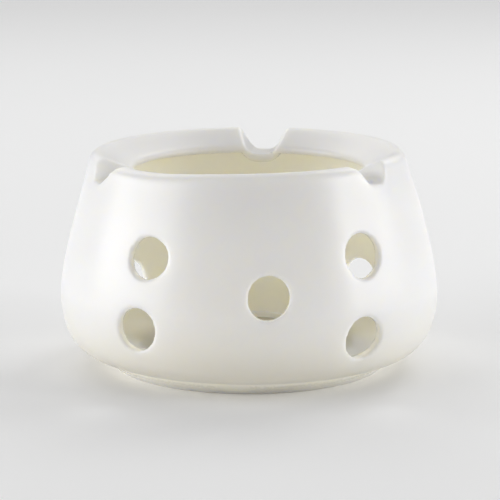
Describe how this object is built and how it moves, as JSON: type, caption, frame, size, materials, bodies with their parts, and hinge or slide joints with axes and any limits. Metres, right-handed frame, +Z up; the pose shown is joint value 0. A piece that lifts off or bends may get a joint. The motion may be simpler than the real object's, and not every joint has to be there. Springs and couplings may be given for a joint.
{
  "type": "teapot warmer",
  "caption": "Round porcelain teapot warmer with an open inward-sloping pot seat, U-shaped rim notches, side air holes and a lift-out tea light.",
  "frame": {"origin": "centre of the foot ring on the table, at the bottom of the bounding box", "axes": "+Z up, +Y towards the back rim notch, the single front air hole near -Y"},
  "size_m": [0.135, 0.135, 0.0779],
  "materials": {
    "porcelain": "gloss",
    "cup_aluminium": "satin",
    "wax": "satin",
    "sustainer_steel": "satin",
    "wick_cotton": "matte"
  },
  "bodies": {
    "warmer": {"warmer_body": "porcelain"},
    "tea_light": {"tealight_cup": "cup_aluminium", "tealight_wax": "wax", "wick_sustainer": "sustainer_steel", "tealight_wick": "wick_cotton"}
  },
  "joints": [
    {"name": "tea_light_lift", "type": "slide", "parent": "warmer", "child": "tea_light", "axis": [0, 0, 1], "range_m": [0, 0.09]}
  ]
}
